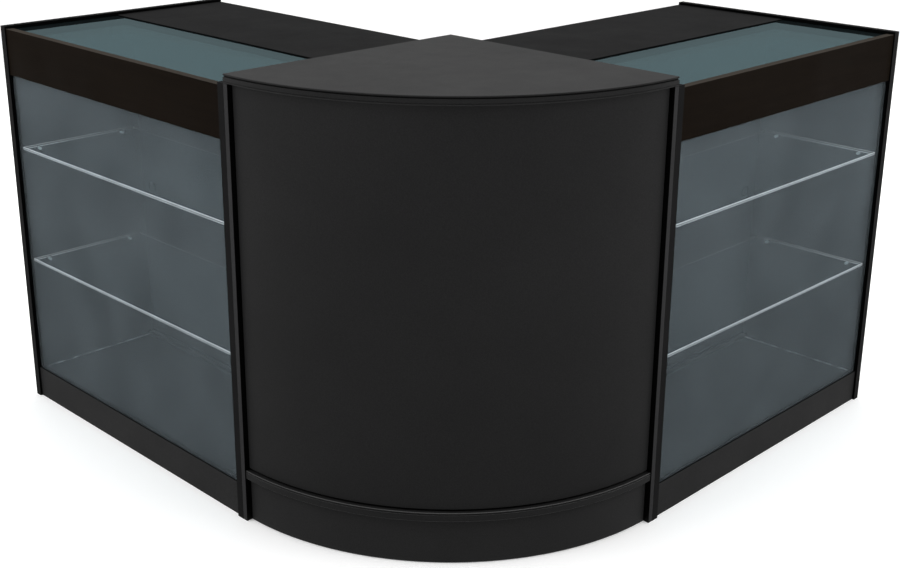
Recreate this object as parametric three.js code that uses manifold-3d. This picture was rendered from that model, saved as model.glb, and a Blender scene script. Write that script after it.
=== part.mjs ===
// A corner checkout counter: two glazed display counters at right angles, joined by a closed quadrant unit.
//
// Frame: millimetres, +Z up, z = 0 on the floor, x = y = 0 at the middle of the footprint. The customer's
// side faces -X and -Y. The right wing runs along +X, and the left wing is its mirror image along +Y. The
// staff stand in the corner between them, on the +X +Y side.
//
// Each wing is built in its own frame: u runs along the counter from the quadrant to the outer end, v runs
// from the customer's side (v = -DEPTH) to the staff side (v = 0), and z is up.
import * as THREE from "three";
import { mergeVertices } from "three/addons/utils/BufferGeometryUtils.js";
import Module from "manifold-3d";

// Driving dimensions.
const LENGTH = 850; // a display counter, from the quadrant to its outer end
const DEPTH = 600; // a display counter from front to back, and the quadrant's radius
const PANEL_HEIGHT = 920; // every end and side panel
const BOARD = 18; // laminated board
const SIDE_BOARD = 12; // the quadrant's two side panels, which stand against the wings
const GAP = 0.3; // between pieces that touch
const PANEL_LIP = 6; // how far the end panels stand above the header and the worktop

// Heights of a display counter.
const RAIL_TOP = PANEL_HEIGHT - PANEL_LIP; // the header's and the worktop's top
const HEADER_BOTTOM = 808;
const DECK_TOP = 74;
const PLINTH_TOP = 76;
const SHELF_TOPS = { lower: 358, upper: 635 };

// Depths of a display counter, as distances behind the front edge of its end panels.
const HEADER_SETBACK = 3;
const PLINTH_SETBACK = 5;
const GLASS_SETBACK = 9;
const WORKTOP_SETBACK = 294; // where the top glass ends and the worktop starts
const TRACK_SETBACK = 320; // the front of the door tracks
const SHELF_SETBACK = 17;
const SHELF_BACK_GAP = 5; // between a shelf and the door tracks
const BACK_OVERHANG = 2; // the end panels stand this far behind the worktop and deck

// Glass.
const FRONT_GLASS = 6;
const TOP_GLASS = 8;
const SHELF_GLASS = 6;
const TOP_GLASS_DROP = 2.5; // the top glass lies this far below the header's top
const GLASS_GROOVE = { depth: 8, side: 0.35 };
const END_GROOVE_DEPTH = 6; // the groove in each end panel that carries the top glass
const SHELF_END_GAP = 1;

// Rail under the back edge of the top glass and the front edge of the worktop.
const RAIL = { before: 20, behind: 16, bottom: 866 };

// Sliding doors and their twin-channel tracks.
const DOOR = { thickness: 6, overlap: 42, endGap: 1 };
const CHANNEL = { width: 7, wall: 2, base: 3, lowerDepth: 7, upperDepth: 13 };
const TRACK_WIDTH = 2 * CHANNEL.width + 3 * CHANNEL.wall;
const DOOR_ENGAGEMENT = 5.3; // how far a door reaches into the upper track
const CUP = { height: 480, inset: 45, hole: 15, wall: 14.7, inside: 13.3, floor: 1.2, flange: 18, lip: 1.2 };

// Shelf pins, two under each end of each shelf.
const PIN = { shank: 2.5, peg: 3.2, depth: 8.5, reach: 10, inset: 40, hole: 2.8, holeDepth: 9 };
const PIN_SEGMENTS = 16;
const CUP_SEGMENTS = 32;

// Rear plinth of a display counter.
const REAR_PLINTH_SETBACK = 40; // in front of the back edge

// The quadrant unit.
const TOP_THICKNESS = BOARD - GAP;
const CORNER_DECK_TOP = 116;
const CORNER_DECK_RADIUS = DEPTH - 2;
const FRONT_RADIUS = DEPTH - 10;
const FRONT_THICKNESS = 8;
const CORNER_PLINTH_RADIUS = DEPTH - 12;
const RIB_BOTTOM = 510;
const ARC_SEGMENTS = 48;

// Cutting.
const OVERCUT = 1; // how far a cutter stands out of the face that it opens
const MERGE_TOLERANCE = 1e-3;

// Worked out from the driving dimensions.
const FOOTPRINT = LENGTH + DEPTH;
const APEX = -(FOOTPRINT / 2 - DEPTH); // the quadrant's centre, in x and in y
const FRONT = -DEPTH;
const U_INNER = GAP + BOARD; // inner faces of a wing's two end panels
const U_OUTER = LENGTH - BOARD;
const U_BOARDS = [U_INNER + GAP, U_OUTER - GAP];
const GLASS_V = [FRONT + GLASS_SETBACK, FRONT + GLASS_SETBACK + FRONT_GLASS];
const GROOVE_V = [GLASS_V[0] - GLASS_GROOVE.side, GLASS_V[1] + GLASS_GROOVE.side];
const WORKTOP_V = [FRONT + WORKTOP_SETBACK, -BACK_OVERHANG];
const TRACK_V = [FRONT + TRACK_SETBACK, FRONT + TRACK_SETBACK + TRACK_WIDTH];
const TOP_GLASS_Z = [RAIL_TOP - TOP_GLASS_DROP - TOP_GLASS, RAIL_TOP - TOP_GLASS_DROP];
const LOWER_TRACK_Z = [DECK_TOP + GAP, DECK_TOP + GAP + CHANNEL.base + CHANNEL.lowerDepth];
const UPPER_TRACK_TOP = RAIL_TOP - BOARD - GAP;
const UPPER_TRACK_Z = [UPPER_TRACK_TOP - CHANNEL.base - CHANNEL.upperDepth, UPPER_TRACK_TOP];
const DOOR_Z = [LOWER_TRACK_Z[0] + CHANNEL.base + GAP, UPPER_TRACK_Z[0] + DOOR_ENGAGEMENT];

const material = (color, roughness, metalness = 0, extra = {}) =>
  new THREE.MeshStandardMaterial({ color, roughness, metalness, ...extra });
const MATERIALS = {
  laminate: material(0x2c2c2c, 0.55),
  cornerTop: material(0x4b4b4b, 0.5),
  header: material(0x1c1712, 0.5),
  glass: material(0x5c6a73, 0.05, 0, { transparent: true, opacity: 0.45 }),
  shelf: material(0x9fb0b8, 0.05, 0, { transparent: true, opacity: 0.5 }),
  track: material(0x2a2b2c, 0.4, 0.2),
  door: material(0x24272a, 0.45),
  metal: material(0xb8bcc0, 0.3, 0.9),
};

const wasm = await Module();
wasm.setup();

// A closed geometry as a solid that can be cut.
function solidOf(geometry) {
  const bare = geometry.index ? geometry.toNonIndexed() : geometry.clone();
  bare.deleteAttribute("normal");
  bare.deleteAttribute("uv");
  const merged = mergeVertices(bare, MERGE_TOLERANCE);
  return new wasm.Manifold(
    new wasm.Mesh({
      numProp: 3,
      vertProperties: merged.attributes.position.array,
      triVerts: new Uint32Array(merged.index.array),
    }),
  );
}

// The geometry that is left once each tool is cut out of a body.
function cut(body, tools) {
  const result = tools.reduce((left, tool) => left.subtract(solidOf(tool)), solidOf(body));
  return geometryOf(result);
}

function geometryOf(solid) {
  const { vertProperties, triVerts } = solid.getMesh();
  const geometry = new THREE.BufferGeometry();
  geometry.setAttribute("position", new THREE.BufferAttribute(vertProperties, 3));
  geometry.setIndex(new THREE.BufferAttribute(triVerts, 1));
  const flat = geometry.toNonIndexed();
  flat.computeVertexNormals();
  return flat;
}

// A rectangular block between two limits on each axis, in place.
function block([u0, u1], [v0, v1], [z0, z1]) {
  const geometry = new THREE.BoxGeometry(u1 - u0, v1 - v0, z1 - z0);
  return geometry.translate((u0 + u1) / 2, (v0 + v1) / 2, (z0 + z1) / 2);
}

function named(name, geometry, look) {
  const mesh = new THREE.Mesh(geometry, look);
  mesh.name = name;
  return mesh;
}

// A plain rectangular board, placed by its middle.
function board(name, u, v, z, look) {
  const mesh = named(name, new THREE.BoxGeometry(u[1] - u[0], v[1] - v[0], z[1] - z[0]), look);
  mesh.position.set((u[0] + u[1]) / 2, (v[0] + v[1]) / 2, (z[0] + z[1]) / 2);
  return mesh;
}

// Where the shelf pins stand: one row under the front and one under the back of each shelf.
function pinPlaces() {
  const rows = { front: FRONT + SHELF_SETBACK + PIN.inset, back: TRACK_V[0] - PIN.inset };
  const places = [];
  for (const [shelf, top] of Object.entries(SHELF_TOPS)) {
    for (const [row, v] of Object.entries(rows)) {
      places.push({ label: `${shelf}_${row}`, v, z: top - SHELF_GLASS - GAP - PIN.peg });
    }
  }
  return places;
}

// A pin that points along +u out of a panel face at u = 0.
function pinGeometry() {
  const profile = [
    [0, -PIN.depth],
    [PIN.shank, -PIN.depth],
    [PIN.shank, GAP],
    [PIN.peg, GAP],
    [PIN.peg, PIN.reach],
    [0, PIN.reach],
  ];
  const lathe = new THREE.LatheGeometry(profile.map(([r, y]) => new THREE.Vector2(r, y)), PIN_SEGMENTS);
  return lathe.rotateZ(-Math.PI / 2);
}

// An end panel: `face` is its inner face, and `inward` points from it into the counter.
function endPanel(name, face, inward) {
  const span = (from, to) => [Math.min(from, to), Math.max(from, to)];
  const body = block(span(face, face - inward * BOARD), [FRONT, 0], [0, PANEL_HEIGHT]);
  const groove = block(
    span(face + inward * OVERCUT, face - inward * END_GROOVE_DEPTH),
    [FRONT + HEADER_SETBACK + BOARD, WORKTOP_V[0]],
    [TOP_GLASS_Z[0] - GAP, TOP_GLASS_Z[1] + GAP],
  );
  const holes = pinPlaces().map(({ v, z }) => {
    const hole = new THREE.CylinderGeometry(PIN.hole, PIN.hole, PIN.holeDepth + OVERCUT, PIN_SEGMENTS);
    return hole.rotateZ(Math.PI / 2).translate(face - (inward * (PIN.holeDepth - OVERCUT)) / 2, v, z);
  });
  return named(name, cut(body, [groove, ...holes]), MATERIALS.laminate);
}

function carcass(side) {
  const deckFront = FRONT + PLINTH_SETBACK + BOARD + GAP;
  const deckZ = [DECK_TOP - BOARD, DECK_TOP];
  const rearPlinthV = [-REAR_PLINTH_SETBACK - BOARD, -REAR_PLINTH_SETBACK];
  return [
    endPanel(`${side}_inner_end_panel`, U_INNER, 1),
    endPanel(`${side}_outer_end_panel`, U_OUTER, -1),
    board(`${side}_bottom_deck`, U_BOARDS, [deckFront, -BACK_OVERHANG], deckZ, MATERIALS.laminate),
    board(`${side}_rear_plinth`, U_BOARDS, rearPlinthV, [0, deckZ[0] - GAP], MATERIALS.laminate),
    board(`${side}_rear_worktop`, U_BOARDS, WORKTOP_V, [RAIL_TOP - BOARD, RAIL_TOP], MATERIALS.laminate),
    frontPlinth(side),
    headerFascia(side),
    glassRail(side),
  ];
}

// The kickboard, grooved along its top for the front glass.
function frontPlinth(side) {
  const v = [FRONT + PLINTH_SETBACK, FRONT + PLINTH_SETBACK + BOARD];
  const groove = block([0, LENGTH], GROOVE_V, [PLINTH_TOP - GLASS_GROOVE.depth, PLINTH_TOP + OVERCUT]);
  const geometry = cut(block(U_BOARDS, v, [0, PLINTH_TOP]), [groove]);
  return named(`${side}_front_plinth`, geometry, MATERIALS.laminate);
}

// The deep board over the front glass, grooved along its bottom for it.
function headerFascia(side) {
  const v = [FRONT + HEADER_SETBACK, FRONT + HEADER_SETBACK + BOARD];
  const grooveZ = [HEADER_BOTTOM - OVERCUT, HEADER_BOTTOM + GLASS_GROOVE.depth];
  const groove = block([0, LENGTH], GROOVE_V, grooveZ);
  const geometry = cut(block(U_BOARDS, v, [HEADER_BOTTOM, RAIL_TOP]), [groove]);
  return named(`${side}_header_fascia`, geometry, MATERIALS.header);
}

// The stepped rail that the top glass and the worktop both bear on.
function glassRail(side) {
  const v = [WORKTOP_V[0] - RAIL.before, WORKTOP_V[0] + RAIL.behind];
  const body = block(U_BOARDS, v, [RAIL.bottom, TOP_GLASS_Z[0] - GAP]);
  const step = block([0, LENGTH], [WORKTOP_V[0] - GAP, 0], [RAIL_TOP - BOARD - GAP, PANEL_HEIGHT]);
  return named(`${side}_glass_rail`, cut(body, [step]), MATERIALS.laminate);
}

function glazing(side) {
  const topV = [FRONT + HEADER_SETBACK + BOARD + GAP, WORKTOP_V[0] - GAP];
  const topU = [U_INNER - END_GROOVE_DEPTH + GAP, U_OUTER + END_GROOVE_DEPTH - GAP];
  const frontZ = [
    PLINTH_TOP - GLASS_GROOVE.depth + GAP,
    HEADER_BOTTOM + GLASS_GROOVE.depth - GAP,
  ];
  const shelfU = [U_INNER + SHELF_END_GAP, U_OUTER - SHELF_END_GAP];
  const shelfV = [FRONT + SHELF_SETBACK, TRACK_V[0] - SHELF_BACK_GAP];
  const shelves = Object.entries(SHELF_TOPS).map(([label, top]) =>
    board(`${side}_${label}_shelf`, shelfU, shelfV, [top - SHELF_GLASS, top], MATERIALS.shelf),
  );
  return [
    board(`${side}_top_glass`, topU, topV, TOP_GLASS_Z, MATERIALS.glass),
    board(`${side}_front_glass`, U_BOARDS, GLASS_V, frontZ, MATERIALS.glass),
    ...shelves,
  ];
}

function shelfPins(side) {
  const ends = { inner: { face: U_INNER, turn: 0 }, outer: { face: U_OUTER, turn: Math.PI } };
  const pins = [];
  for (const [end, { face, turn }] of Object.entries(ends)) {
    for (const { label, v, z } of pinPlaces()) {
      const pin = named(`${side}_${label}_${end}_shelf_pin`, pinGeometry(), MATERIALS.metal);
      pin.position.set(face, v, z);
      pin.rotation.z = turn;
      pins.push(pin);
    }
  }
  return pins;
}

// The two door channels, front first, as limits on v.
function channels() {
  const first = TRACK_V[0] + CHANNEL.wall;
  const second = first + CHANNEL.width + CHANNEL.wall;
  return [first, second].map((start) => [start, start + CHANNEL.width]);
}

function tracks(side) {
  const lowerFloor = LOWER_TRACK_Z[0] + CHANNEL.base;
  const upperRoof = UPPER_TRACK_Z[1] - CHANNEL.base;
  const lowerCuts = channels().map((v) => block([0, LENGTH], v, [lowerFloor, LOWER_TRACK_Z[1] + OVERCUT]));
  const upperCuts = channels().map((v) => block([0, LENGTH], v, [UPPER_TRACK_Z[0] - OVERCUT, upperRoof]));
  const lower = cut(block(U_BOARDS, TRACK_V, LOWER_TRACK_Z), lowerCuts);
  const upper = cut(block(U_BOARDS, TRACK_V, UPPER_TRACK_Z), upperCuts);
  return [
    named(`${side}_lower_door_track`, lower, MATERIALS.track),
    named(`${side}_upper_door_track`, upper, MATERIALS.track),
  ];
}

// A round finger cup about the v axis, let into a door whose staff face is at v = 0.
function cupGeometry() {
  const back = -DOOR.thickness;
  const lip = GAP + CUP.lip;
  const profile = [
    [0, back],
    [CUP.wall, back],
    [CUP.wall, GAP],
    [CUP.flange, GAP],
    [CUP.flange, lip],
    [CUP.inside, lip],
    [CUP.inside, back + CUP.floor],
    [0, back + CUP.floor],
  ];
  return new THREE.LatheGeometry(profile.map(([r, y]) => new THREE.Vector2(r, y)), CUP_SEGMENTS);
}

// A sliding door and the finger cup near its outer edge; `cupU` is the cup's middle.
function door(name, u, v, cupU) {
  const hole = new THREE.CylinderGeometry(CUP.hole, CUP.hole, 2 * DOOR.thickness, CUP_SEGMENTS);
  hole.translate(cupU, (v[0] + v[1]) / 2, CUP.height);
  const panel = named(name, cut(block(u, v, DOOR_Z), [hole]), MATERIALS.door);
  const cup = named(`${name}_cup`, cupGeometry(), MATERIALS.metal);
  cup.position.set(cupU, v[1], CUP.height);
  return [panel, cup];
}

function doors(side) {
  const play = (CHANNEL.width - DOOR.thickness) / 2;
  const [innerV, outerV] = channels().map(([v0, v1]) => [v0 + play, v1 - play]);
  const innerStart = U_INNER + DOOR.endGap;
  const outerEnd = U_OUTER - DOOR.endGap;
  const length = (outerEnd - innerStart + DOOR.overlap) / 2;
  const innerU = [innerStart, innerStart + length];
  const outerU = [outerEnd - length, outerEnd];
  return [
    ...door(`${side}_inner_door`, innerU, innerV, innerStart + CUP.inset),
    ...door(`${side}_outer_door`, outerU, outerV, outerEnd - CUP.inset),
  ];
}

function wing(side) {
  const group = new THREE.Group();
  group.add(...carcass(side), ...glazing(side), ...shelfPins(side), ...tracks(side), ...doors(side));
  return group;
}

// A quarter of a disc, or of a ring when it has an inner radius, kept clear of both side panels by `inset`.
function quarter(radius, innerRadius, inset, z0, thickness) {
  const shape = new THREE.Shape();
  const tilt = (r) => Math.asin(inset / r);
  shape.absarc(0, 0, radius, Math.PI + tilt(radius), 1.5 * Math.PI - tilt(radius), false);
  if (innerRadius > 0) {
    const turn = tilt(innerRadius);
    shape.absarc(0, 0, innerRadius, 1.5 * Math.PI - turn, Math.PI + turn, true);
  } else {
    shape.lineTo(-inset, -inset);
  }
  shape.closePath();
  const geometry = new THREE.ExtrudeGeometry(shape, {
    depth: thickness,
    bevelEnabled: false,
    curveSegments: ARC_SEGMENTS,
  });
  return geometry.translate(0, 0, z0);
}

function quadrant() {
  const group = new THREE.Group();
  const inset = SIDE_BOARD + GAP;
  const shellTop = PANEL_HEIGHT - GAP;
  const deckBottom = CORNER_DECK_TOP - BOARD;
  const frontBottom = CORNER_DECK_TOP + GAP;
  const ribRadius = FRONT_RADIUS - FRONT_THICKNESS - GAP;
  const front = quarter(
    FRONT_RADIUS,
    FRONT_RADIUS - FRONT_THICKNESS,
    inset,
    frontBottom,
    shellTop - frontBottom,
  );
  const plinth = quarter(
    CORNER_PLINTH_RADIUS,
    CORNER_PLINTH_RADIUS - FRONT_THICKNESS,
    inset,
    0,
    deckBottom - GAP,
  );
  const top = quarter(DEPTH, 0, 0, PANEL_HEIGHT + GAP, TOP_THICKNESS);
  const panelZ = [0, PANEL_HEIGHT];
  group.add(
    board("corner_left_side_panel", [FRONT, 0], [-SIDE_BOARD, 0], panelZ, MATERIALS.laminate),
    board("corner_right_side_panel", [-SIDE_BOARD, 0], [FRONT, -inset], panelZ, MATERIALS.laminate),
    named("corner_top", top, MATERIALS.cornerTop),
    named("corner_deck", quarter(CORNER_DECK_RADIUS, 0, inset, deckBottom, BOARD), MATERIALS.laminate),
    named("corner_rib", quarter(ribRadius, 0, inset, RIB_BOTTOM, BOARD), MATERIALS.laminate),
    named("corner_curved_front", front, MATERIALS.laminate),
    named("corner_curved_plinth", plinth, MATERIALS.laminate),
  );
  return group;
}

const rightWing = wing("right");
const leftWing = wing("left");
leftWing.rotation.z = Math.PI / 2; // with the reflection, this swaps x and y
leftWing.scale.y = -1;

const counter = new THREE.Group();
counter.add(quadrant(), rightWing, leftWing);
for (const unit of counter.children) unit.position.set(APEX, APEX, 0);

const group = new THREE.Group();
group.add(counter);
export default group;
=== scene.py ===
"""Looks for the corner checkout counter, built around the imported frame.

Everything is in metres, in the frame's own axes: +Z is up, and customers stand on the -X -Y side. The CAD
boards and glass keep their meshes and get fine arrises and procedural materials. The quadrant's curved
pieces, the finger cups and the shelf pins are rebuilt here with finer profiles, in the CAD's own places.
"""

import math

import bmesh
import bpy
from mathutils import Matrix, Vector


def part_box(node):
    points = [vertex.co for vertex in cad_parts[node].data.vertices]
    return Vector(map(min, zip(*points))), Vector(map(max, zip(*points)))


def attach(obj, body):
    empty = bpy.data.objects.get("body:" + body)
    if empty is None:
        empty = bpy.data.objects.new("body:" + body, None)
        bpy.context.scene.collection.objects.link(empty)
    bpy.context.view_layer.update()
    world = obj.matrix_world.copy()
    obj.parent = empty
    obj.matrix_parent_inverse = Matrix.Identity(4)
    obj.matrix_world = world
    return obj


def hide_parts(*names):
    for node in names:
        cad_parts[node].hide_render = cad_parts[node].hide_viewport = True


MM = 0.001
WHITE = (1.0, 1.0, 1.0)

# Camera: where it stands, its heading from +Y towards +X, its tilt down and its roll, in metres and degrees.
CAMERA_PLACE = (-2.1778, -2.1625, 1.4552)
CAMERA_HEADING = 45.249
CAMERA_TILT = 18.761
CAMERA_ROLL = 0.416
CAMERA_LENS = 53.987
CAMERA_SENSOR = 36.0
CAMERA_SHIFT_Y = -0.05

# Sky: a white backdrop for the camera and a dome for all else, darker towards the front by the dot product
# with SKY_FRONT.
BACKDROP_STRENGTH = 1.0
SKY_HORIZON = 0.18
SKY_ZENITH = 2.25
SKY_CURVE = 2.5
SKY_FRONT = (-0.7071, -0.7071, 0.0)
SKY_FRONT_SPAN = (0.1, 0.9)
SKY_FRONT_SHADE = 0.1

# Floor: the camera sees a shaded floor with a little glow, and all else sees a pale glow, dimmer near the
# object as a painted shadow, that grows with the distance from the middle of the object.
FLOOR_SIZE = 60.0
FLOOR_ALBEDO = 0.93
FLOOR_NOISE = (0.8, 2.0, 0.5)
FLOOR_SHADES = (0.3, 0.7, 0.995, 1.0)
FLOOR_ROUGHNESS = 0.85
FLOOR_GLOSS = 0.1
FLOOR_GLOW = 0.2
FLOOR_BOUNCE = (0.78, 1.30)
FLOOR_REACH = (0.9, 2.6)

SOFTBOX_AIM = (-0.3, -0.3, 0.5)
SOFTBOX_SIZE = 2.0
SOFTBOXES = (
    {"name": "left_softbox", "place": (-2.6, 0.9, 2.3), "power": 36.0},
    {"name": "right_softbox", "place": (0.9, -2.6, 2.3), "power": 36.0},
    {"name": "back_softbox", "place": (2.8, 2.8, 1.2), "power": 170.0},
)

# Arrises on the CAD nodes, and the smoothness of the new pieces.
WELD_DISTANCE = 0.00001
FLAT_ANGLE = math.radians(1.0)
SHARP_ANGLE = math.radians(40.0)
BOARD_ARRIS = 0.0007
TRACK_ARRIS = 0.00035
GLASS_ARRIS = 0.0008
ARRIS_SEGMENTS = 3
CREASE_ANGLE = math.radians(32.0)
ARC_STEPS = 160
CUP_STEPS = 64
PIN_STEPS = 28

# Finish of each CAD node that stays, by the first ending that its name has; the rest are plain laminate.
NODE_FINISHES = (
    ("inner_end_panel", "inner_end"),
    ("end_panel", "end_laminate"),
    ("side_panel", "side_panel"),
    ("bottom_deck", "deck"),
    ("plinth", "plinth"),
    ("header_fascia", "header"),
    ("top_glass", "top_glass"),
    ("front_glass", "front_glass"),
    ("shelf", "shelf_glass"),
    ("door_track", "track"),
    ("door", "door"),
)
QUADRANT_NODES = ("corner_top", "corner_deck", "corner_curved_front", "corner_curved_plinth")

# Laminated boards: albedo of the broad faces and of the edge bands, gloss and roughness. An end board's face
# inside the case may have its own albedo, darker as painted shade, and a board its own strength of grain.
BOARD_FINISHES = {
    "laminate": {
        "face": (0.0095, 0.0095, 0.0097),
        "band": (0.002, 0.002, 0.002),
        "gloss": 0.02,
        "rough": 0.5,
    },
    "plinth": {
        "face": (0.0190, 0.0190, 0.0193),
        "band": (0.004, 0.004, 0.004),
        "gloss": 0.04,
        "rough": 0.5,
    },
    "deck": {
        "face": (0.0095, 0.0095, 0.0097),
        "band": (0.002, 0.002, 0.002),
        "gloss": 0.03,
        "rough": 0.5,
    },
    "end_laminate": {
        "face": (0.0150, 0.0150, 0.0152),
        # Near-black face inside the case: painted shade.
        "inside": (0.0012, 0.0012, 0.0012),
        "band": (0.001, 0.001, 0.001),
        "gloss": 0.04,
        "rough": 0.5,
    },
    "inner_end": {
        "face": (0.0115, 0.0115, 0.0117),
        "band": (0.0045, 0.0045, 0.0047),
        "gloss": 0.03,
        "rough": 0.5,
    },
    # Near-black broad faces: painted shade in the dark reveal beside the curved front.
    "side_panel": {
        "face": (0.0008, 0.0008, 0.0008),
        "band": (0.024, 0.024, 0.025),
        "gloss": 0.04,
        "rough": 0.45,
    },
    "header": {
        "face": (0.0066, 0.0045, 0.0029),
        "band": (0.036, 0.031, 0.026),
        "gloss": 0.01,
        "rough": 0.55,
    },
    "door": {
        "face": (0.0160, 0.0166, 0.0172),
        "band": (0.022, 0.022, 0.023),
        "gloss": 0.02,
        "rough": 0.6,
        "grain": 0.0,
    },
}
BROAD_SPAN = (0.55, 0.85)

# Melamine's textures. Every noise is (scale, detail, roughness), and every ramp (start, end, low, high).
SEED_STEP = (1.7, 2.3, 3.1)
CLOUD_NOISE = (3.5, 3.0, 0.5)
CLOUD_SHADES = (0.3, 0.7, 0.92, 1.08)
SPECK_NOISE = (420.0, 2.0, 0.5)
SPECK_SHADES = (0.35, 0.65, 0.88, 1.15)
SCUFF_NOISE = (45.0, 3.0, 0.5)
SCUFF_SHARE = (0.42, 0.68, 0.15, 0.9)
SMEAR_NOISE = (9.0, 4.0, 0.6)
SMEAR_ROUGHNESS = (0.3, 0.75, -0.05, 0.06)
PEARL_NOISE = (900.0, 2.0, 0.6)
PEARL_ROUGHNESS = (0.3, 0.7, -0.04, 0.04)
PEARL_HEIGHT = 0.00006
PEARL_STRENGTH = 0.8
STREAK_NOISE = (1.0, 3.0, 0.65)
STREAK_SHADES = (0.3, 0.7, 0.84, 1.14)
STREAK_ALONG = 6.0
STREAK_ACROSS = 160.0

# Paler arrises of a board, partly wear and partly painted highlight: how much paler, how wide and how strong;
# and the painted highlight line at a deck's outer end.
ARRIS_WEAR_AND_HIGHLIGHT = 0.014
ARRIS_WEAR_AND_HIGHLIGHT_WIDTH = 0.0014
WEAR_AND_HIGHLIGHT_SHARE = 0.7
DECK_HIGHLIGHT = 0.80
DECK_HIGHLIGHT_WIDTH = 0.006

# The quadrant's laminates. Lines and changes of colour are placed by how far inwards from the rim they are;
# the quirk lines' darkness is painted shade.
# The top's face is paler than the wings' worktops as painted light, for the brighter light on the quadrant's
# top.
CORNER_TOP = {
    "face": (0.0285, 0.0285, 0.0287),
    "band": (0.0130, 0.0130, 0.0132),
    "gloss": 0.07,
    "rough": 0.42,
}
# The ledge's pale face along its lip is a painted highlight line; further in it takes the darker inner
# albedo.
CORNER_LEDGE = {
    "face": (0.070, 0.070, 0.070),
    "inner": (0.014, 0.014, 0.014),
    "band": (0.0155, 0.0155, 0.0157),
    "gloss": 0.06,
    "rough": 0.45,
}
CURVED_FRONT = {
    "face": (0.0160, 0.0160, 0.0162),
    "band": (0.0160, 0.0160, 0.0162),
    "gloss": 0.05,
    "rough": 0.5,
}
CURVED_PLINTH = {
    "face": (0.0205, 0.0205, 0.0207),
    "band": (0.0205, 0.0205, 0.0207),
    "gloss": 0.05,
    "rough": 0.5,
}
LEVEL_SPAN = (0.4, 0.7)
# Width of the ledge's painted highlight along its lip.
LEDGE_HIGHLIGHT_LIP = (0.0024, 0.00288)
QUIRK_START = (0.0003, 0.0007)
QUIRK_END = (0.0052, 0.0058)
# How dark the quirks' painted shade is.
QUIRK_PAINTED_SHADE = 0.05
# Paler rims of the quadrant's boards, partly wear and partly painted highlight.
RIM_WEAR_AND_HIGHLIGHT = (0.0004, 0.0022, 0.6, 0.0)

# Glass: tint of what passes, tint and strength of the reflection, share of grey haze, and the polished edges'
# albedo and glow, which are a painted highlight and a painted glow. An edge that runs from front to back
# starts with its own share of both, which falls to a smaller share of that at the back.
GLASS_FINISHES = {
    "front_glass": {
        "pass": (0.80, 0.86, 0.90),
        "sheen": (0.79, 0.92, 0.99),
        "gloss": 0.08,
        "haze": 0.042,
        "edge": (0.010, 0.018, 0.021),
        "glow": 0.0,
        "side_highlight": 1.0,
    },
    "top_glass": {
        "pass": (0.62, 0.78, 0.80),
        "sheen": (0.66, 0.93, 1.0),
        "gloss": 1.30,
        "haze": 0.012,
        "edge": (0.008, 0.015, 0.017),
        "glow": 0.0,
        "side_highlight": 1.0,
    },
    "shelf_glass": {
        "pass": (0.93, 0.97, 0.97),
        "sheen": (0.80, 0.97, 1.0),
        "gloss": 0.2,
        "haze": 0.006,
        "edge": (0.82, 0.80, 0.78),
        "glow": 0.36,
        "side_highlight": 0.75,
    },
}
GLASS_IOR = 1.5
GLASS_FACE_SPAN = (0.9, 0.99)
GLASS_SMEAR_NOISE = (7.0, 4.0, 0.6)
GLASS_SMEAR_SPAN = (0.3, 0.7)
GLASS_ROUGHNESS = (0.018, 0.048)
HAZE_SPREAD = (0.8, 1.2)
# The glass edges' painted highlight and glow: their share at the back, the depth of the bright front strip,
# and their fall from the arrises to the core.
BACK_HIGHLIGHT_SHARE = 0.1
FRONT_HIGHLIGHT_DEPTH = (0.0010, 0.0015)
ARRIS_HIGHLIGHT_WIDTH = (0.0008, 0.0014)
CORE_HIGHLIGHT_SHARE = 0.15
EDGE_NOISE = (14.0, 3.0, 0.5)
EDGE_SHADES = (0.3, 0.7, 0.85, 1.12)
EDGE_ROUGHNESS = 0.12
EDGE_GLOSS = 0.4
TRANSPARENT_BOUNCES = 32

# Plastic of the door tracks.
TRACK_COLOUR = (0.012, 0.012, 0.013)
TRACK_CLOUD_NOISE = (25.0, 3.0, 0.5)
TRACK_CLOUD_SHADES = (0.3, 0.7, 0.9, 1.1)
TRACK_ROUGHNESS = (0.84, 1.14, 0.30, 0.42)
TRACK_GLOSS = 0.35
TRACK_LINE_HEIGHT = 0.00005
TRACK_LINE_STRENGTH = 0.6

# Metal of the finger cups and the shelf pins.
CUP_METAL = {"colour": (0.06, 0.06, 0.065), "rough": 0.3, "metallic": 1.0}
PIN_METAL = {"colour": (0.70, 0.71, 0.72), "rough": 0.3, "metallic": 0.3}
RING_NOISE = (90.0, 2.0, 0.5)
RING_ROUGHNESS = (0.3, 0.7, -0.06, 0.06)
RING_HEIGHT = 0.00002
RING_STRENGTH = 0.5
MARK_NOISE = (6.0, 4.0, 0.6)
MARK_SHADES = (0.3, 0.7, 0.9, 1.05)

# Edges of the quadrant's boards, from the bottom up, as millimetres (in from the rim, above the bottom), and
# how far in the top surface starts.
CORNER_TOP_EDGE = (
    (0.8, 0.0),
    (0.0, 0.8),
    (0.0, 2.6),
    (0.7, 2.8),
    (0.7, 3.6),
    (0.0, 3.8),
    (0.0, 11.6),
    (3.0, 11.8),
    (3.0, 14.8),
    (0.2, 14.9),
    (0.0, 15.4),
    (0.1, 16.2),
    (0.6, 17.1),
)
CORNER_TOP_ROUNDING = 1.5
CORNER_DECK_EDGE = (
    (0.9, 0.0),
    (0.0, 0.9),
    (0.0, 13.4),
    (1.6, 13.7),
    (1.6, 15.2),
    (0.1, 15.5),
    (0.0, 16.3),
    (0.4, 17.4),
)
CORNER_DECK_ROUNDING = 1.2

# The quadrant's bent sheets, in metres: foot is the height of the dark line under the sheet.
SHEET_THICKNESS = 0.008
SHEET_END_REVEAL = 0.0025
SHEET_SET_IN = 0.005
SHEET_ROUNDING = 0.0006
FRONT_FOOT = 0.004
PLINTH_FOOT = 0.0015

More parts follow.
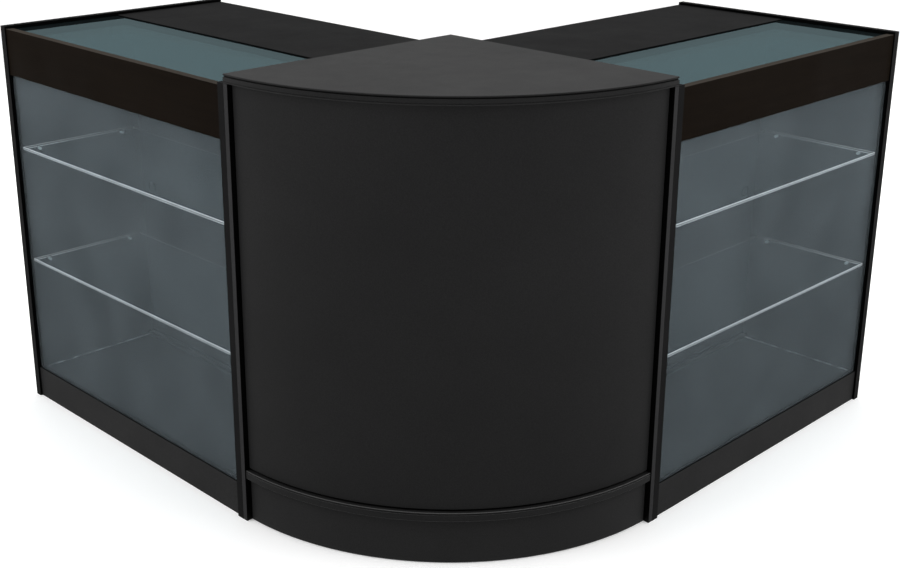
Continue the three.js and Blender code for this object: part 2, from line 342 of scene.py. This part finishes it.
# Turned pieces, from the end in the board outwards, as millimetres (radius, height).
CUP_PROFILE = (
    (13.9, 0.0),
    (14.7, 0.8),
    (14.7, 6.3),
    (17.4, 6.3),
    (17.9, 6.6),
    (18.0, 7.0),
    (17.6, 7.4),
    (17.0, 7.5),
    (14.3, 7.5),
    (13.7, 7.3),
    (13.4, 6.8),
    (13.3, 6.0),
    (13.3, 2.6),
    (12.9, 1.7),
    (12.0, 1.2),
)
PIN_PROFILE = (
    (1.9, 0.0),
    (2.5, 0.6),
    (2.5, 8.8),
    (2.9, 8.8),
    (3.2, 9.1),
    (3.2, 17.4),
    (3.0, 18.0),
    (2.5, 18.4),
    (2.0, 18.5),
)

# Seeds of the quadrant's patterns; the CAD nodes take their own from their order.
TOP_SEED = 40
DECK_SEED = 41
FRONT_SEED = 42
PLINTH_SEED = 43


class Graph:
    """Short calls for building a node tree."""

    def __init__(self, tree):
        self.tree = tree
        tree.nodes.clear()

    def node(self, kind, inputs=(), **settings):
        """A new node with its settings, and its inputs fed with sockets or plain values."""
        made = self.tree.nodes.new(kind)
        for key, value in settings.items():
            setattr(made, key, value)
        for key, value in dict(inputs).items():
            self.feed(made.inputs[key], value)
        return made

    def feed(self, socket, value):
        """Links a socket to an input, or sets the input to a plain value."""
        if isinstance(value, bpy.types.NodeSocket):
            self.tree.links.new(value, socket)
        else:
            socket.default_value = value

    def math(self, operation, a, b=0.0, clamp=False):
        """A sum on one or two numbers."""
        return self.node("ShaderNodeMath", {0: a, 1: b}, operation=operation, use_clamp=clamp).outputs[0]

    def vector(self, operation, a, b=(0.0, 0.0, 0.0), output=0):
        """A sum on vectors; output 1 is the one for a number, such as a length."""
        return self.node("ShaderNodeVectorMath", {0: a, 1: b}, operation=operation).outputs[output]

    def split(self, vector):
        """The three parts of a vector."""
        return self.node("ShaderNodeSeparateXYZ", {0: vector}).outputs

    def place(self):
        """Where a point is in its object's own axes: at rest the frame's, for all but turned pieces."""
        return self.node("ShaderNodeTexCoord").outputs["Object"]

    def ramp(self, value, start, end, low=0.0, high=1.0):
        """low up to start, high from end, and a straight line between them."""
        inputs = {0: value, 1: start, 2: end, 3: low, 4: high}
        return self.node("ShaderNodeMapRange", inputs, clamp=True).outputs[0]

    def mix(self, share, a, b):
        """A colour between a and b."""
        made = self.node("ShaderNodeMix", {0: share, 6: opaque(a), 7: opaque(b)}, data_type="RGBA")
        return made.outputs[2]

    def scaled(self, colour, factor):
        """A colour made lighter or darker by a factor."""
        factors = self.node("ShaderNodeCombineXYZ", {0: factor, 1: factor, 2: factor})
        return self.vector("MULTIPLY", colour, factors.outputs[0])

    def noise(self, place, scale, detail, roughness):
        """Smooth noise between 0 and 1."""
        inputs = {"Vector": place, "Scale": scale, "Detail": detail, "Roughness": roughness}
        return self.node("ShaderNodeTexNoise", inputs).outputs[0]

    def bump(self, height, distance, strength):
        """A surface normal turned by a height that is distance where it is 1."""
        inputs = {"Height": height, "Distance": distance, "Strength": strength}
        return self.node("ShaderNodeBump", inputs).outputs[0]

    def blend(self, share, first, second):
        """A shader between two shaders."""
        return self.node("ShaderNodeMixShader", {0: share, 1: first.outputs[0], 2: second.outputs[0]})

    def surface(self, shader, kind="ShaderNodeOutputMaterial"):
        """Ends the tree in a shader."""
        self.feed(self.node(kind).inputs["Surface"], shader.outputs[0])


def opaque(colour):
    """A colour tuple with its alpha; a socket stays as it is."""
    return (*colour, 1.0) if isinstance(colour, tuple) else colour


def new_material(name):
    """A material and the graph of its empty node tree."""
    material = bpy.data.materials.new(name)
    material.use_nodes = True
    return material, Graph(material.node_tree)


def place_of(graph, seed):
    """Where a point is in the frame, moved by a step of its own for each piece, so no two share a pattern."""
    return graph.vector("ADD", graph.place(), tuple(step * seed for step in SEED_STEP))


def thin_axis(low, high):
    """The axis, as a unit vector, along which a box is thinnest."""
    size = high - low
    least = min(range(3), key=lambda axis: size[axis])
    return tuple(1.0 if axis == least else 0.0 for axis in range(3))


def long_axis(low, high):
    """The index of the axis along which a box is longest."""
    size = high - low
    return max(range(3), key=lambda axis: size[axis])


def arris_distance(graph, low, high):
    """On a box's surface, how far a point is from the nearest edge of the box."""
    place = graph.place()
    from_low = graph.vector("SUBTRACT", place, tuple(low))
    from_high = graph.vector("SUBTRACT", tuple(high), place)
    x, y, z = graph.split(graph.vector("MINIMUM", from_low, from_high))
    inner = graph.math("MINIMUM", graph.math("MAXIMUM", x, y), z)
    return graph.math("MAXIMUM", graph.math("MINIMUM", x, y), inner)


def facing(graph, axis):
    """How nearly a surface faces along an axis, from 0 to 1."""
    normal = graph.node("ShaderNodeNewGeometry").outputs["True Normal"]
    return graph.math("ABSOLUTE", graph.vector("DOT_PRODUCT", normal, axis, output=1))


def melamine(graph, place, colour, look, wear_and_highlight, worn_and_highlight=ARRIS_WEAR_AND_HIGHLIGHT, streaks=None):
    """Textured melamine: faint clouds and specks of colour, a fine pearl grain, and paler arrises, partly
    wear and partly painted highlight.
    """
    clouds = graph.ramp(graph.noise(place, *CLOUD_NOISE), *CLOUD_SHADES)
    specks = graph.ramp(graph.noise(place, *SPECK_NOISE), *SPECK_SHADES)
    shade = graph.math("MULTIPLY", clouds, specks)
    if streaks is not None:
        shade = graph.math("MULTIPLY", shade, streaks)
    scuffs = graph.ramp(graph.noise(place, *SCUFF_NOISE), *SCUFF_SHARE)
    wear_and_highlight_share = graph.math("MULTIPLY", wear_and_highlight, scuffs)
    tinted = graph.scaled(colour, shade)
    smears = graph.ramp(graph.noise(place, *SMEAR_NOISE), *SMEAR_ROUGHNESS)
    pearl = graph.noise(place, *PEARL_NOISE)
    uneven = graph.math("ADD", smears, graph.ramp(pearl, *PEARL_ROUGHNESS))
    inputs = {
        "Base Color": graph.mix(wear_and_highlight_share, tinted, graph.vector("ADD", tinted, (worn_and_highlight, worn_and_highlight, worn_and_highlight))),
        "Roughness": graph.math("ADD", uneven, look["rough"], clamp=True),
        "Specular IOR Level": look["gloss"],
        "Normal": graph.bump(pearl, PEARL_HEIGHT, look.get("grain", PEARL_STRENGTH)),
    }
    graph.surface(graph.node("ShaderNodeBsdfPrincipled", inputs))


def along_grain(graph, place, low, high):
    """Faint straight streaks along a board's longest side."""
    longest = long_axis(low, high)
    stretch = tuple(STREAK_ALONG if axis == longest else STREAK_ACROSS for axis in range(3))
    streaks = graph.noise(graph.vector("MULTIPLY", place, stretch), *STREAK_NOISE)
    return graph.ramp(streaks, *STREAK_SHADES)


def face_with_shaded_inside(graph, low, high, look):
    """The colours of an end board's outer face and of its face inside the case, darker as painted shade."""
    across = thin_axis(low, high)
    along = graph.vector("DOT_PRODUCT", graph.place(), across, output=1)
    outward = graph.math("GREATER_THAN", along, (low + high).dot(Vector(across)) / 2)
    return graph.mix(outward, look["inside"], look["face"])


def outer_highlight_line(graph, deck, low, high):
    """1 in a narrow line along a deck's outer end, as far as the doors' track, else 0: where the deck's
    painted highlight goes.
    """
    along = max((0, 1), key=lambda axis: high[axis] - low[axis])
    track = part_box(deck.replace("bottom_deck", "lower_door_track"))[0]
    place = graph.split(graph.place())
    at_end = graph.math("GREATER_THAN", place[along], high[along] - DECK_HIGHLIGHT_WIDTH)
    before_doors = graph.math("LESS_THAN", place[1 - along], track[1 - along])
    return graph.math("MULTIPLY", at_end, before_doors)


def board_material(node, finish, seed):
    """A laminated board: melamine faces, an edge band on its narrow sides, and paler arrises, partly wear and
    partly painted highlight.
    """
    look = BOARD_FINISHES[finish]
    low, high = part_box(node)
    material, graph = new_material(f"{finish}_{node}")
    place = place_of(graph, seed)
    broad = graph.ramp(facing(graph, thin_axis(low, high)), *BROAD_SPAN)
    face = face_with_shaded_inside(graph, low, high, look) if "inside" in look else look["face"]
    colour = graph.mix(broad, look["band"], face)
    streaks = along_grain(graph, place, low, high) if finish == "header" else None
    # A deck gets a painted highlight line at its outer end, standing for a reflection, in place of paler
    # arrises.
    if finish == "deck":
        worn_and_highlight = DECK_HIGHLIGHT
        wear_and_highlight = graph.math("MULTIPLY", outer_highlight_line(graph, node, low, high), WEAR_AND_HIGHLIGHT_SHARE)
    else:
        worn_and_highlight = ARRIS_WEAR_AND_HIGHLIGHT
        wear_and_highlight = graph.ramp(arris_distance(graph, low, high), 0.0, ARRIS_WEAR_AND_HIGHLIGHT_WIDTH, WEAR_AND_HIGHLIGHT_SHARE, 0.0)
    melamine(graph, place, colour, look, wear_and_highlight, worn_and_highlight, streaks)
    return material


def rim_distance(graph, apex, radius):
    """How far a point is inside a circle round the quadrant's centre."""
    flat = graph.vector("MULTIPLY", graph.place(), (1.0, 1.0, 0.0))
    out = graph.vector("DISTANCE", flat, (apex.x, apex.y, 0.0), output=1)
    return graph.math("SUBTRACT", radius, out)


def quadrant_material(name, look, apex, radius, seed):
    """Laminate of a curved piece: face colour, edge band where it isn't level, painted shade in the quirk
    lines.
    """
    material, graph = new_material(name)
    inside = rim_distance(graph, apex, radius)
    level = graph.ramp(facing(graph, (0.0, 0.0, 1.0)), *LEVEL_SPAN)
    face = look["face"]
    # The ledge's pale lip is a painted highlight.
    if "inner" in look:
        face = graph.mix(graph.ramp(inside, *LEDGE_HIGHLIGHT_LIP), look["face"], look["inner"])
    upright = graph.math("SUBTRACT", 1.0, level)
    sunk = graph.math("MULTIPLY", graph.ramp(inside, *QUIRK_START), upright)
    # Painted shade: the quirks' upright faces are darkened to near black.
    painted_shade = graph.math("MULTIPLY", sunk, graph.ramp(inside, *QUIRK_END, 1.0, 0.0))
    colour = graph.mix(level, look["band"], face)
    colour = graph.scaled(colour, graph.ramp(painted_shade, 0.0, 1.0, 1.0, QUIRK_PAINTED_SHADE))
    wear_and_highlight = graph.math("MULTIPLY", graph.ramp(inside, *RIM_WEAR_AND_HIGHLIGHT), level)
    melamine(graph, place_of(graph, seed), colour, look, wear_and_highlight)
    return material


def per_surface(tint):
    """The tint of each of a pane's two surfaces, for a pane's whole tint."""
    return tuple(math.sqrt(part) for part in tint)


def glass_pane(graph, look):
    """The broad face of a pane: clear tinted glass with a thin haze, and a mirror of the studio over it."""
    smears = graph.noise(graph.place(), *GLASS_SMEAR_NOISE)
    low, high = HAZE_SPREAD
    haze = graph.ramp(smears, *GLASS_SMEAR_SPAN, look["haze"] * low, look["haze"] * high)
    clear = graph.node("ShaderNodeBsdfTransparent", {"Color": opaque(per_surface(look["pass"]))})
    film = graph.node("ShaderNodeBsdfDiffuse", {"Color": opaque(look["sheen"])})
    roughness = graph.ramp(smears, *GLASS_SMEAR_SPAN, *GLASS_ROUGHNESS)
    sheen = graph.node("ShaderNodeBsdfGlossy", {"Color": opaque(look["sheen"]), "Roughness": roughness})
    leaving = graph.node("ShaderNodeNewGeometry").outputs["Backfacing"]
    ior = graph.ramp(leaving, 0.0, 1.0, GLASS_IOR, 1.0 / GLASS_IOR)
    mirrored = graph.math("MULTIPLY", graph.node("ShaderNodeFresnel", {"IOR": ior}).outputs[0], look["gloss"])
    return graph.blend(mirrored, graph.blend(haze, clear, film), sheen)


def glass_edge(graph, low, high, look):
    """A polished glass edge with a painted highlight and a painted glow: brightest along its arrises and at
    the front, fading towards the back.
    """
    place = graph.place()
    front = min((0, 1), key=lambda axis: low[axis])
    depth = graph.math("SUBTRACT", graph.split(place)[front], low[front])
    side_highlight = look["side_highlight"]
    fading = graph.ramp(depth, 0.0, high[front] - low[front], side_highlight, side_highlight * BACK_HIGHLIGHT_SHARE)
    share = graph.math("MAXIMUM", graph.ramp(depth, *FRONT_HIGHLIGHT_DEPTH, 1.0, 0.0), fading)
    arris = graph.ramp(arris_distance(graph, low, high), *ARRIS_HIGHLIGHT_WIDTH, 1.0, CORE_HIGHLIGHT_SHARE)
    uneven = graph.ramp(graph.noise(place, *EDGE_NOISE), *EDGE_SHADES)
    painted_highlight = graph.math("MULTIPLY", graph.math("MULTIPLY", arris, uneven), share)
    # Painted highlight in the base colour and painted glow in the emission, brightest at the front and along
    # the arrises.
    inputs = {
        "Base Color": graph.scaled(look["edge"], painted_highlight),
        "Roughness": EDGE_ROUGHNESS,
        "Specular IOR Level": graph.math("MULTIPLY", share, EDGE_GLOSS),
        "Emission Color": opaque(look["edge"]),
        "Emission Strength": graph.math("MULTIPLY", painted_highlight, look["glow"]),
    }
    return graph.node("ShaderNodeBsdfPrincipled", inputs)


def glass_material(node, finish):
    """Tinted float glass: clear faces that mirror the studio, and polished edges with a painted highlight and
    a painted glow.
    """
    look = GLASS_FINISHES[finish]
    low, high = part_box(node)
    material, graph = new_material(f"{finish}_{node}")
    face = graph.ramp(facing(graph, thin_axis(low, high)), *GLASS_FACE_SPAN)
    graph.surface(graph.blend(face, glass_edge(graph, low, high, look), glass_pane(graph, look)))
    return material


def track_material(node, seed):
    """Extruded black plastic with faint draw lines along its length."""
    material, graph = new_material(f"track_{node}")
    place = place_of(graph, seed)
    lines = along_grain(graph, place, *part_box(node))
    clouds = graph.ramp(graph.noise(place, *TRACK_CLOUD_NOISE), *TRACK_CLOUD_SHADES)
    inputs = {
        "Base Color": graph.scaled(TRACK_COLOUR, graph.math("MULTIPLY", lines, clouds)),
        "Roughness": graph.ramp(lines, *TRACK_ROUGHNESS),
        "Specular IOR Level": TRACK_GLOSS,
        "Normal": graph.bump(lines, TRACK_LINE_HEIGHT, TRACK_LINE_STRENGTH),
    }
    graph.surface(graph.node("ShaderNodeBsdfPrincipled", inputs))
    return material


def metal_material(name, look):
    """Satin plated metal with fine turned lines and faint handling marks."""
    material, graph = new_material(name)
    place = graph.node("ShaderNodeTexCoord").outputs["Generated"]
    spun = graph.vector("SUBTRACT", place, (0.5, 0.5, 0.5))
    rings = graph.noise(graph.vector("LENGTH", spun, output=1), *RING_NOISE)
    marks = graph.noise(place, *MARK_NOISE)
    inputs = {
        "Base Color": graph.scaled(look["colour"], graph.ramp(marks, *MARK_SHADES)),
        "Metallic": look["metallic"],
        "Roughness": graph.math("ADD", graph.ramp(rings, *RING_ROUGHNESS), look["rough"]),
        "Normal": graph.bump(rings, RING_HEIGHT, RING_STRENGTH),
    }
    graph.surface(graph.node("ShaderNodeBsdfPrincipled", inputs))
    return material


def finish_of(node):
    """The finish of a CAD node."""
    for ending, finish in NODE_FINISHES:
        if node.endswith(ending):
            return finish
    return "laminate"


def soften_edges(board, width):
    """Joins the board's faces and rounds its arrises, as a modifier stack over the CAD mesh."""
    weld = board.modifiers.new("weld", "WELD")
    weld.merge_threshold = WELD_DISTANCE
    flatten = board.modifiers.new("flatten", "DECIMATE")
    flatten.decimate_type = "DISSOLVE"
    flatten.angle_limit = FLAT_ANGLE
    arris = board.modifiers.new("arris", "BEVEL")
    arris.width = width
    arris.segments = ARRIS_SEGMENTS
    arris.limit_method = "ANGLE"
    arris.angle_limit = SHARP_ANGLE
    arris.use_clamp_overlap = True


def dress(node, board, seed):
    """Gives a CAD node its finish."""
    finish = finish_of(node)
    if finish in GLASS_FINISHES:
        repaint(board, glass_material(node, finish))
        soften_edges(board, GLASS_ARRIS)
    elif finish == "track":
        repaint(board, track_material(node, seed))
        soften_edges(board, TRACK_ARRIS)
    else:
        repaint(board, board_material(node, finish, seed))
        soften_edges(board, BOARD_ARRIS)


def repaint(piece, material):
    """The piece in one material, in all its slots."""
    if not piece.material_slots:
        piece.data.materials.append(material)
    for slot in piece.material_slots:
        slot.material = material


def new_object(name, data):
    """A new object in the scene."""
    made = bpy.data.objects.new(name, data)
    bpy.context.scene.collection.objects.link(made)
    return made


def capped_loft(name, rings):
    """A closed mesh through equal rings of points, with a flat cap on the first and the last."""
    mesh = bmesh.new()
    loops = [[mesh.verts.new(point) for point in ring] for ring in rings]
    for near, far in zip(loops, loops[1:]):
        for i in range(len(near)):
            j = (i + 1) % len(near)
            mesh.faces.new((near[i], near[j], far[j], far[i]))
    mesh.faces.new(loops[0])
    mesh.faces.new(loops[-1])
    bmesh.ops.recalc_face_normals(mesh, faces=mesh.faces)
    data = bpy.data.meshes.new(name)
    mesh.to_mesh(data)
    mesh.free()
    data.shade_smooth()
    data.set_sharp_from_angle(angle=CREASE_ANGLE)
    return new_object(name, data)


def settle(piece, node, material, body):
    """Puts a new piece in the place of its CAD node."""
    repaint(piece, material)
    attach(piece, body)
    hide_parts(node)


def arc_point(apex, radius, height, inset, share):
    """A point on an arc that starts and ends inset from the quadrant's straight sides."""
    turn = math.asin(inset / radius)
    angle = math.pi + turn + share * (math.pi / 2 - 2 * turn)
    return (apex.x + radius * math.cos(angle), apex.y + radius * math.sin(angle), height)


def quarter_board(name, apex, inset, profile):
    """A quarter disc whose curved edge follows a profile of (radius, height) from its bottom to its top."""
    rings = []
    for radius, height in profile:
        ring = [arc_point(apex, radius, height, inset, step / ARC_STEPS) for step in range(ARC_STEPS + 1)]
        ring.append((apex.x - inset, apex.y - inset, height))
        rings.append(ring)
    return capped_loft(name, rings)


def quarter_shell(name, apex, section):
    """A bent sheet whose section, a closed loop of (radius, height, inset), is swept round the quadrant."""
    rings = []
    for step in range(ARC_STEPS + 1):
        share = step / ARC_STEPS
        rings.append([arc_point(apex, radius, height, inset, share) for radius, height, inset in section])
    return capped_loft(name, rings)


def edge_profile(low, high, rim, edge, rounding):
    """A board's edge as (radius, height), from its steps in millimetres and the start of its top surface."""
    steps = [(rim - inward * MM, low.z + up * MM) for inward, up in edge]
    return [*steps, (rim - rounding * MM, high.z)]


def corner_top(apex):
    """The quadrant's worktop, with a rounded lip, a deep quirk under it and a fine bead near its bottom."""
    low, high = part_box("corner_top")
    rim = apex.x - low.x
    profile = edge_profile(low, high, rim, CORNER_TOP_EDGE, CORNER_TOP_ROUNDING)
    piece = quarter_board("quadrant_top", apex, 0.0, profile)
    material = quadrant_material("quadrant_top", CORNER_TOP, apex, rim, TOP_SEED)
    settle(piece, "corner_top", material, "counter")


def corner_deck(apex):
    """The quadrant's deck, whose edge is a ledge under the curved front, with a quirk under its lip."""
    low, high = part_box("corner_deck")
    inset = apex.x - high.x
    rim = math.hypot(apex.x - low.x, inset)
    profile = edge_profile(low, high, rim, CORNER_DECK_EDGE, CORNER_DECK_ROUNDING)
    piece = quarter_board("quadrant_deck", apex, inset, profile)
    material = quadrant_material("quadrant_deck", CORNER_LEDGE, apex, rim, DECK_SEED)
    settle(piece, "corner_deck", material, "counter")


def bent_sheet(node, name, look, apex, foot, seed):
    """A bent sheet of the quadrant, set back a little at its foot and ends, which show as dark lines."""
    low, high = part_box(node)
    inset = apex.x - high.x
    open_inset = inset + SHEET_END_REVEAL
    outside = math.hypot(apex.x - low.x, inset)
    inside = outside - SHEET_THICKNESS
    set_in = outside - SHEET_SET_IN
    eased = outside - SHEET_ROUNDING
    lip = low.z + foot
    section = (
        (inside, low.z, inset),
        (inside, high.z, inset),
        (set_in, high.z, inset),
        (eased, high.z, open_inset),
        (outside, high.z - SHEET_ROUNDING, open_inset),
        (outside, lip + SHEET_ROUNDING, open_inset),
        (eased, lip, open_inset),
        (set_in, lip, inset),
        (set_in, low.z, inset),
    )
    piece = quarter_shell(name, apex, section)
    settle(piece, node, quadrant_material(name, look, apex, outside, seed), "counter")


def turned_piece(name, profile, steps, origin, direction):
    """A turned solid through rings of (radius, height) in millimetres, standing on origin along direction."""
    angles = [math.tau * step / steps for step in range(steps)]
    rings = []
    for radius, height in profile:
        rings.append([(radius * MM * math.cos(a), radius * MM * math.sin(a), height * MM) for a in angles])
    piece = capped_loft(name, rings)
    turn = direction.to_track_quat("Z", "Y").to_matrix().to_4x4()
    piece.matrix_world = Matrix.Translation(origin) @ turn
    return piece


def finger_cup(node, body, material):
    """A flush finger cup: a thin rolled flange round a round well in the door."""
    low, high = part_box(node)
    axis = Vector(thin_axis(low, high))
    origin = (low + high) / 2 - axis * (high - low).dot(axis) / 2
    piece = turned_piece(f"{node}_shell", CUP_PROFILE, CUP_STEPS, origin, axis)
    settle(piece, node, material, body)


def shelf_pin(node, material):
    """A plated shelf pin: a shank in the panel and a thicker round-nosed peg under the glass."""
    low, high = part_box(node)
    longest = long_axis(low, high)
    sign = 1.0 if node.endswith("inner_shelf_pin") else -1.0
    direction = Vector([sign if axis == longest else 0.0 for axis in range(3)])
    origin = (low + high) / 2 - direction * (high - low)[longest] / 2
    piece = turned_piece(f"{node}_turned", PIN_PROFILE, PIN_STEPS, origin, direction)
    settle(piece, node, material, "counter")


def make_camera():
    """The camera at the customer's side, on the diagonal and a little above the tops."""
    data = bpy.data.cameras.new("camera")
    data.lens = CAMERA_LENS
    data.sensor_width = CAMERA_SENSOR
    data.shift_y = CAMERA_SHIFT_Y
    camera = new_object("camera", data)
    heading = Matrix.Rotation(-math.radians(CAMERA_HEADING), 4, "Z")
    tilt = Matrix.Rotation(math.radians(90.0 - CAMERA_TILT), 4, "X")
    roll = Matrix.Rotation(math.radians(CAMERA_ROLL), 4, "Z")
    camera.matrix_world = Matrix.Translation(CAMERA_PLACE) @ heading @ tilt @ roll
    bpy.context.scene.camera = camera


def make_sky():
    """A plain white backdrop, and a soft dome, brightest overhead, for the light and the reflections."""
    world = bpy.data.worlds.new("studio")
    world.use_nodes = True
    graph = Graph(world.node_tree)
    direction = graph.node("ShaderNodeTexCoord").outputs["Generated"]
    rise = graph.math("POWER", graph.math("MAXIMUM", graph.split(direction)[2], 0.0), SKY_CURVE)
    ahead = graph.vector("DOT_PRODUCT", direction, SKY_FRONT, output=1)
    shade = graph.ramp(ahead, *SKY_FRONT_SPAN, 1.0, SKY_FRONT_SHADE)
    strength = graph.math("MULTIPLY", graph.ramp(rise, 0.0, 1.0, SKY_HORIZON, SKY_ZENITH), shade)
    dome = graph.node("ShaderNodeBackground", {"Color": opaque(WHITE), "Strength": strength})
    backdrop = graph.node("ShaderNodeBackground", {"Color": opaque(WHITE), "Strength": BACKDROP_STRENGTH})
    seen = graph.node("ShaderNodeLightPath").outputs["Is Camera Ray"]
    graph.surface(graph.blend(seen, dome, backdrop), "ShaderNodeOutputWorld")
    bpy.context.scene.world = world


def floor_material():
    """A plain pale floor for the camera, and a pale glow for the light and the reflections, dimmer near the
    object as a painted shadow.
    """
    material, graph = new_material("floor")
    place = graph.place()
    shade = graph.ramp(graph.noise(place, *FLOOR_NOISE), *FLOOR_SHADES)
    seen = graph.node("ShaderNodeLightPath").outputs["Is Camera Ray"]
    inputs = {
        "Base Color": graph.scaled((FLOOR_ALBEDO,) * 3, shade),
        "Roughness": FLOOR_ROUGHNESS,
        "Specular IOR Level": FLOOR_GLOSS,
        "Emission Color": opaque(WHITE),
        "Emission Strength": graph.math("MULTIPLY", seen, FLOOR_GLOW),
    }
    shaded = graph.node("ShaderNodeBsdfPrincipled", inputs)
    # Painted shadow: the glow is dimmer near the object.
    away = graph.vector("LENGTH", place, output=1)
    bounced = graph.node("ShaderNodeEmission", {"Strength": graph.ramp(away, *FLOOR_REACH, *FLOOR_BOUNCE)})
    graph.surface(graph.blend(seen, bounced, shaded))
    material.cycles.emission_sampling = "NONE"
    return material


def make_floor():
    """The floor that the object stands on."""
    half = FLOOR_SIZE / 2
    data = bpy.data.meshes.new("floor")
    corners = [(-half, -half, 0), (half, -half, 0), (half, half, 0), (-half, half, 0)]
    data.from_pydata(corners, [], [(0, 1, 2, 3)])
    floor = new_object("floor", data)
    repaint(floor, floor_material())


def make_softboxes():
    """Broad soft lights, one beyond each wing's front and one behind, that no glass or gloss mirrors."""
    for softbox in SOFTBOXES:
        data = bpy.data.lights.new(softbox["name"], "AREA")
        data.size = SOFTBOX_SIZE
        data.energy = softbox["power"]
        light = new_object(softbox["name"], data)
        light.location = softbox["place"]
        light.rotation_euler = (Vector(SOFTBOX_AIM) - light.location).to_track_quat("-Z", "Y").to_euler()
        light.visible_glossy = False


def dress_nodes(frame):
    """Finishes for the CAD nodes that stay, and turned pieces for the cups and the pins."""
    cup_metal = metal_material("black_nickel_cup", CUP_METAL)
    pin_metal = metal_material("nickel_pin", PIN_METAL)
    for seed, node in enumerate(sorted(frame["nodes"])):
        if node.endswith("_cup"):
            finger_cup(node, node.removesuffix("_cup"), cup_metal)
        elif node.endswith("_pin"):
            shelf_pin(node, pin_metal)
        elif node not in QUADRANT_NODES:
            dress(node, frame["nodes"][node], seed)


def make_quadrant():
    """The quadrant's top, deck, curved front and curved plinth, round the corner where its sides meet."""
    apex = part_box("corner_top")[1]
    corner_top(apex)
    corner_deck(apex)
    bent_sheet("corner_curved_front", "quadrant_front", CURVED_FRONT, apex, FRONT_FOOT, FRONT_SEED)
    bent_sheet("corner_curved_plinth", "quadrant_plinth", CURVED_PLINTH, apex, PLINTH_FOOT, PLINTH_SEED)


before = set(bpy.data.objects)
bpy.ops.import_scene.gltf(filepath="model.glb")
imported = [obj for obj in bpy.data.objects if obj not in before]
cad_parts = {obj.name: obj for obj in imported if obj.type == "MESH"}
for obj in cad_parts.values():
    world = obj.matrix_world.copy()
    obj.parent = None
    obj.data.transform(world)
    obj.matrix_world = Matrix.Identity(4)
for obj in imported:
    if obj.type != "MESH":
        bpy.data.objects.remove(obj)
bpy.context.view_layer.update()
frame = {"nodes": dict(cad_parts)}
bpy.context.scene.view_settings.view_transform = "Standard"
bpy.context.scene.cycles.transparent_max_bounces = TRANSPARENT_BOUNCES
make_camera()
make_sky()
make_floor()
make_softboxes()
dress_nodes(frame)
make_quadrant()
